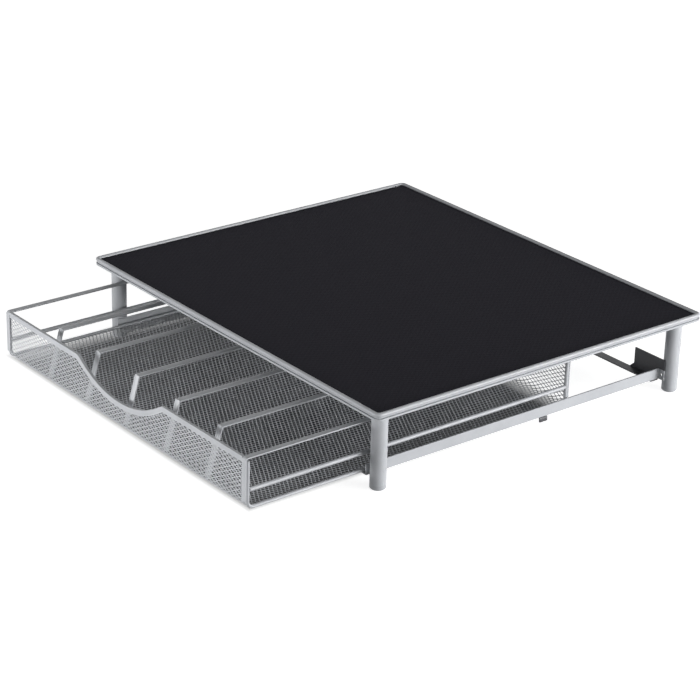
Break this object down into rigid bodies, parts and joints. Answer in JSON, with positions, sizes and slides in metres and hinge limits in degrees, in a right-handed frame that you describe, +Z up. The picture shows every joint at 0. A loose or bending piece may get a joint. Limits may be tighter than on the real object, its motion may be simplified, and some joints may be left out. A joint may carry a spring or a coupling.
{
  "type": "capsule drawer stand",
  "caption": "Wire-rimmed counter platform on tube legs with a non-slip mat, over an open-sided mesh drawer that slides out on L rails and is parted into lanes by creased strips.",
  "frame": {"origin": "on the table, in the middle of the footprint that the stand and the drawer cover with the drawer pulled out 100 mm", "axes": "+Z up, +X to the right seen from the drawer's front, -Y the way the drawer pulls out"},
  "size_m": [0.39, 0.447, 0.0713],
  "materials": {
    "painted_steel": "satin silver-grey paint",
    "mat_rubber": "matte, finely textured",
    "foot_plastic": "matte silver-grey"
  },
  "bodies": {
    "stand": {"top_rim_wire": "painted_steel", "lower_rim_band": "painted_steel", "top_panel": "painted_steel", "top_mat": "mat_rubber", "centre_brace": "painted_steel", "rear_cross_strip": "painted_steel", "foot_caps": "foot_plastic", "leg_front_left": "painted_steel", "leg_front_right": "painted_steel", "leg_rear_left": "painted_steel", "leg_rear_right": "painted_steel", "rail_left": "painted_steel", "rail_right": "painted_steel", "rear_stop_left": "painted_steel", "rear_stop_right": "painted_steel"},
    "drawer": {"side_wire_left": "painted_steel", "side_wire_right": "painted_steel", "side_strip_left": "painted_steel", "side_strip_right": "painted_steel", "mid_rod_left": "painted_steel", "mid_rod_right": "painted_steel", "drawer_front_mesh": "painted_steel", "drawer_floor_mesh": "painted_steel", "drawer_back_mesh": "painted_steel", "front_hem": "painted_steel", "back_hem": "painted_steel", "divider_1": "painted_steel", "divider_2": "painted_steel", "divider_3": "painted_steel", "divider_4": "painted_steel", "divider_5": "painted_steel"}
  },
  "joints": [
    {"name": "drawer_slide", "type": "slide", "parent": "stand", "child": "drawer", "axis": [0, -1, 0], "range_m": [-0.1, 0.13]}
  ]
}
